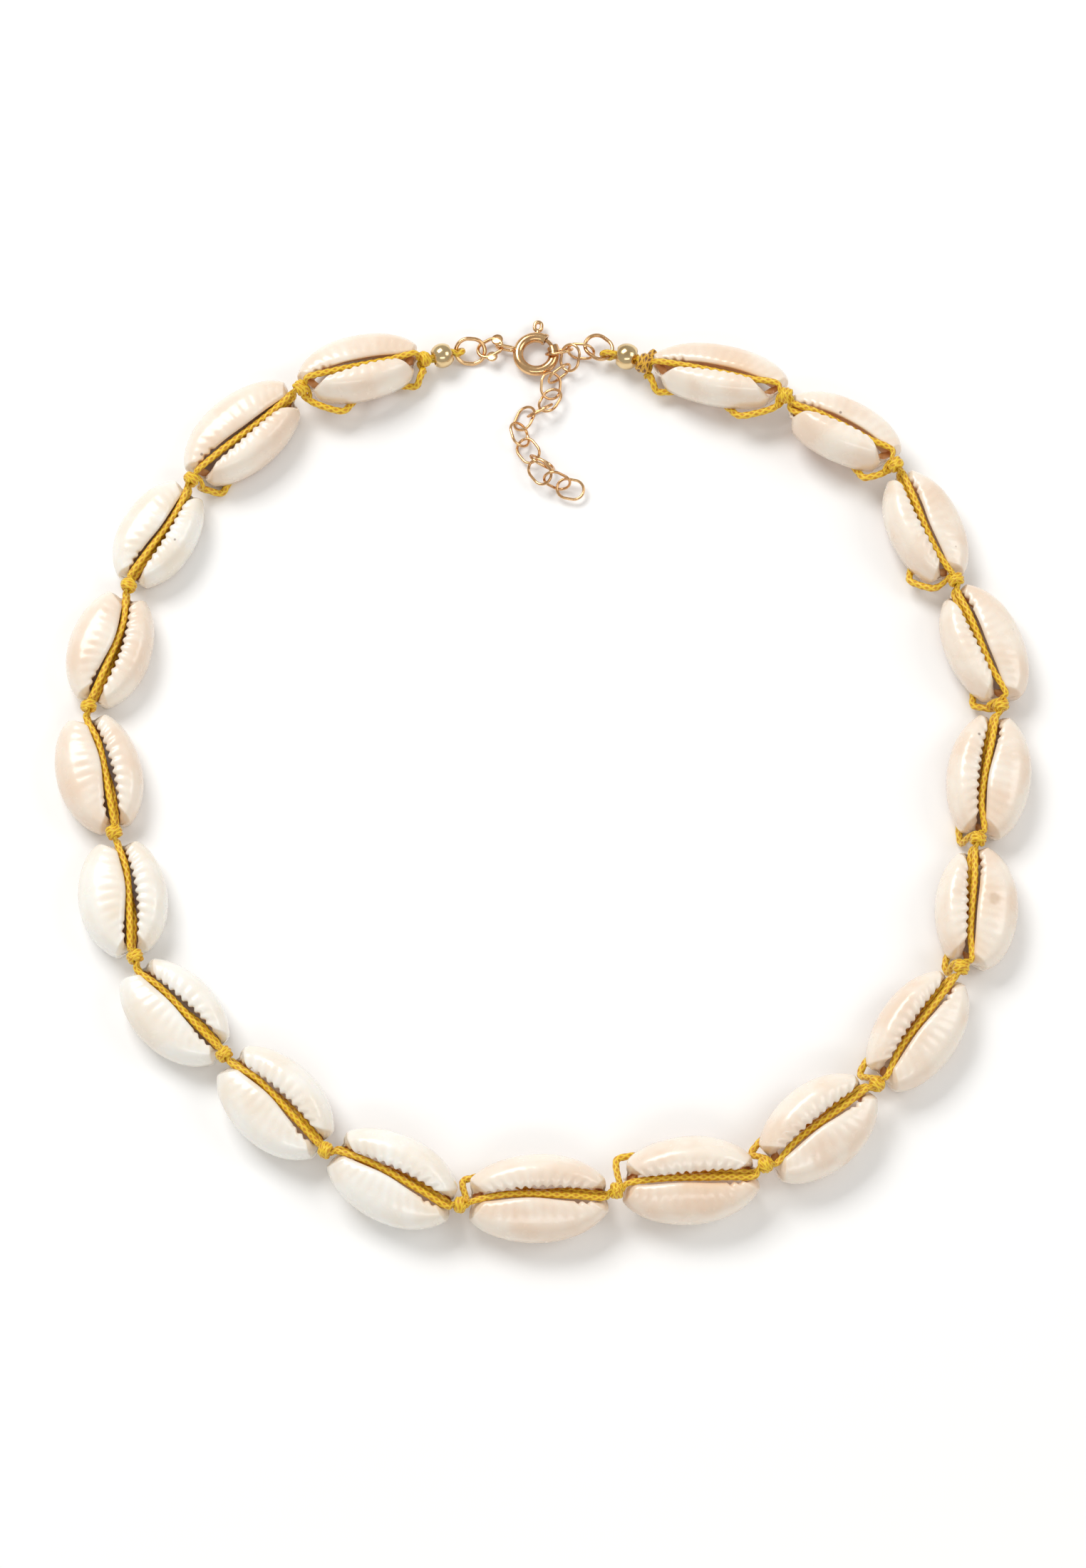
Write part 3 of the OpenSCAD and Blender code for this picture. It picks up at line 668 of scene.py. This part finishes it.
# The knots.
# Tight overhand knots in the doubled cord, one in front of each shell. Each is
# a wrap of two turns with one turn drawn across it. The last knot is bigger
# and is browned where its cut end was sealed with a flame.
def knot_turns(k, size=1.0, turns=2.1, spread=0.85):
    """The cord's way round one knot: coiled turns, then a slanting one."""
    along = knot_dir(k)
    side = unit(np.cross([0, 0, 1], along))
    up = np.cross(along, side)
    middle = knot_at[k] - loop_centre
    start = np.random.default_rng(70 + k).uniform(0, 2 * pi)
    path = []
    for s in np.linspace(0, 1, 40):
        a = start + 2 * pi * turns * s
        reach = 0.66 * size * min(1, 0.4 + 6 * min(s, 1 - s))
        x = spread * size * (s - 0.5)
        path.append([*(middle + along * x + reach * (side * cos(a) + up * sin(a))), 0.40 * size ** 0.5])
    across = []
    for s in np.linspace(0, 1, 28):
        a = start + 2.2 + 2 * pi * 0.85 * s
        x = 0.55 * size * cos(2 * pi * s)
        reach = (0.74 - 0.18 * abs(cos(2 * pi * s))) * size
        across.append([*(middle + along * x + reach * (side * cos(a) + up * sin(a))), 0.36 * size ** 0.5])
    return [np.array(path), np.array(across)]


knots = make_cord("knots", [turn for k in range(shells) for turn in knot_turns(k)])
dress(knots, cord_gold, "knots")

last = knot_turns(shells, 1.3, 2.6, 0.95)
end_way = knot_dir(shells)
end_mid = knot_at[shells] - loop_centre
side = unit(np.cross([0, 0, 1], end_way))
# aside, above and back from the knot's middle, then the cut end's radius
stub = [
    [*(end_mid - side * aside + [0, 0, above] - end_way * back), r]
    for aside, above, back, r in ((0.7, 0.1, 0.2, 0.45), (1.3, 0.2, 0.5, 0.46), (1.9, 0.1, 0.75, 0.40))
]
end_knot = make_cord("end_knot", last + [smooth_path(stub, 0.15)])
# Its darker colour is the flame's browning together with painted shade in the crevices.
cord_brown = cord_finish("cord_brown", colour(240, 182, 44), colour(122, 70, 20))
dress(end_knot, cord_brown, "end_knot")


# The beads.
# Two round hollow beads of plated brass, each slid over the doubled cord next
# to an end knot. Their holes have small rolled edges.
def metal_finish(name, bright, deep, rough=0.14):
    """Polished plating, a little deeper and duller in soft clouds."""
    metal = Finish(name, Metallic=1.0)
    clouds = metal.noise(420.0, 3.0)
    metal.set("Base Color", metal.mix(metal.step(clouds, 0.35, 0.7), bright, deep))
    metal.set("Roughness", rough + 0.12 * metal.noise(900.0, 3.0))
    metal.bump(metal.noise(1300.0, 3.0), 0.00002, 0.5)
    return metal.material


bead_gold = metal_finish("bead_gold", colour(232, 206, 158), colour(206, 174, 124))


def make_bead(name, at, hub, size):
    deselect()
    bpy.ops.mesh.primitive_uv_sphere_add(segments=64, ring_count=48, radius=size / 2)
    bead = bpy.context.object
    bead.name = name
    hole = bead_bore_d / 2
    z = np.empty(len(bead.data.vertices) * 3)
    bead.data.vertices.foreach_get("co", z)
    p = z.reshape(-1, 3)
    reach = np.hypot(p[:, 0], p[:, 1])
    # The caps over the two ends of the bore are pushed in to line the hole.
    inside = reach < hole + 0.05
    edge = ((size / 2) ** 2 - hole ** 2) ** 0.5
    p[inside, 2] = np.sign(p[inside, 2]) * (edge - 0.9 * (1 - reach[inside] / (hole + 0.05)) ** 0.5)
    p[inside & (reach > 0.01), :2] *= (hole / reach[inside & (reach > 0.01)])[:, None] * 0.999
    bead.data.vertices.foreach_set("co", (p * MM).ravel())
    way = Vector(((hub - at) * [1, 1, 0]).tolist())
    turn = way.to_track_quat("Z", "Y").to_matrix().to_4x4()
    bead.data.transform(Matrix.Translation((at * MM).tolist()) @ turn)
    bead.data.update()
    bpy.ops.object.shade_smooth_by_angle(angle=radians(50))
    dress(bead, bead_gold, name)


make_bead("bead_left", left_bead_at, left_hub_at, left_bead_d)
make_bead("bead_right", right_bead_at, right_hub_at, right_bead_d)

# Jump rings and the chain.
# Ovals of round plated wire. Two jump rings hold the cord's loops, and a short
# extension chain of small links runs from the right one through the clasp and
# lies loose inside the loop. Each link is closed with a soldered joint, which is
# not drawn.
rose_gold = metal_finish("rose_gold", colour(236, 194, 142), colour(204, 154, 104), 0.1)


def wire_oval(name, length, width, wire):
    deselect()
    bpy.ops.mesh.primitive_torus_add(
        major_segments=56, minor_segments=18,
        major_radius=(width - wire) / 2, minor_radius=wire / 2,
    )
    ring = bpy.context.object
    ring.name = name
    # The two halves are drawn apart, which makes the straight sides.
    for end in (-1, 1):
        bpy.ops.object.mode_set(mode="EDIT")
        bpy.ops.mesh.select_all(action="DESELECT")
        bpy.ops.object.mode_set(mode="OBJECT")
        for v in ring.data.vertices:
            v.select = v.co.x * end > 1e-4
        bpy.ops.object.mode_set(mode="EDIT")
        bpy.ops.transform.translate(value=(end * (length - width) / 2, 0, 0))
        bpy.ops.object.mode_set(mode="OBJECT")
    return ring


def lay(piece, pose, node):
    """Puts a piece where it lies: place, heading, pitch and roll."""
    place, (head, pitch, roll) = np.array(pose[:3]) - loop_centre, pose[3:]
    turn = Matrix.Rotation(radians(head), 4, "Z") @ Matrix.Rotation(radians(pitch), 4, "Y")
    turn = turn @ Matrix.Rotation(radians(roll), 4, "X")
    piece.data.transform(Matrix.Scale(MM, 4) @ Matrix.Translation(place.tolist()) @ turn)
    piece.data.update()
    pick(piece)
    bpy.ops.object.shade_smooth_by_angle(angle=radians(40))
    dress(piece, rose_gold, node)


# length, width and wire of the links, then how each lies: x, y, z, heading,
# pitch and roll
link_size = (3.8, 2.9, 0.36)
left_ring_pose = [-9.4, 58.4, 1.25, -1, 7, 32]
right_ring_pose = [7.2, 58.7, 1.9, -40, -3, -4]
link_pose = [
    [4.9, 58.3, 1.5, -8, -12, 67], [2.1, 58.3, 1.35, 12, -2, -61],
    [3.5, 57.2, 2.0, 79, -28, 157], [2.1, 55.2, 1.5, 38, -3, 83],
    [1.0, 53.6, 1.2, 86, -10, 19], [0.9, 51.6, 1.2, 61, 3, -24],
    [-0.4, 50.1, 1.45, 26, -8, 112], [-2.4, 49.2, 0.9, 67, 0, -31],
    [-3.0, 46.9, 1.1, 105, 4, 37], [-1.9, 44.7, 1.0, 125, 9, -21],
    [-0.1, 42.9, 1.5, -18, 28, -55], [-0.4, 41.4, 2.1, -52, -1, 28],
    [1.8, 40.3, 1.8, -18, 28, 62], [3.5, 39.4, 1.1, -10, 2, 8],
]
for name, size, pose in (
    ("ring_left", (4.3, 3.8, 0.53), left_ring_pose),
    ("ring_right", (4.2, 3.5, 0.5), right_ring_pose),
):
    lay(wire_oval(name, *size), pose, name)
for k, pose in enumerate(link_pose):
    link = wire_oval(f"link_{k + 1:02d}", *link_size)
    lay(link, pose, f"chain_link_{k + 1:02d}")

# The tag link.
# A small oval link whose wire is hammered out into two flat lobes. It joins
# the left jump ring to the eye of the clasp. It is bare, but is drawn with the
# same rose-gold finish as the rings.
tag = wire_oval("tag", 3.7, 2.8, 0.45)
for x, y, width in ((1.4, 0.6, 1.5), (-0.4, -1.3, 1.4)):
    deselect()
    bpy.ops.mesh.primitive_cylinder_add(vertices=48, radius=width / 2, depth=0.4, location=(x, y, 0))
    lobe = bpy.context.object
    bpy.ops.object.mode_set(mode="EDIT")
    bpy.ops.mesh.select_all(action="SELECT")
    bpy.ops.mesh.bevel(offset=0.14, segments=4, affect="EDGES")
    bpy.ops.object.mode_set(mode="OBJECT")
    bpy.ops.object.transform_apply(location=True)
    deselect()
    lobe.select_set(True)
    tag.select_set(True)
    bpy.context.view_layer.objects.active = tag
    bpy.ops.object.join()
lay(tag, [-6.85, 58.9, 1.15, 30, -1, -13], "tag_link")

# The spring clasp.
# A spring ring of plated tube with a soldered eye and a collar at its mouth.
# The sprung rod closes the mouth and slides back when its knob is pushed.
for node in ("clasp_ring", "clasp_lever"):
    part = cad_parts[node]
    part.data.materials.clear()
    part.data.materials.append(rose_gold)
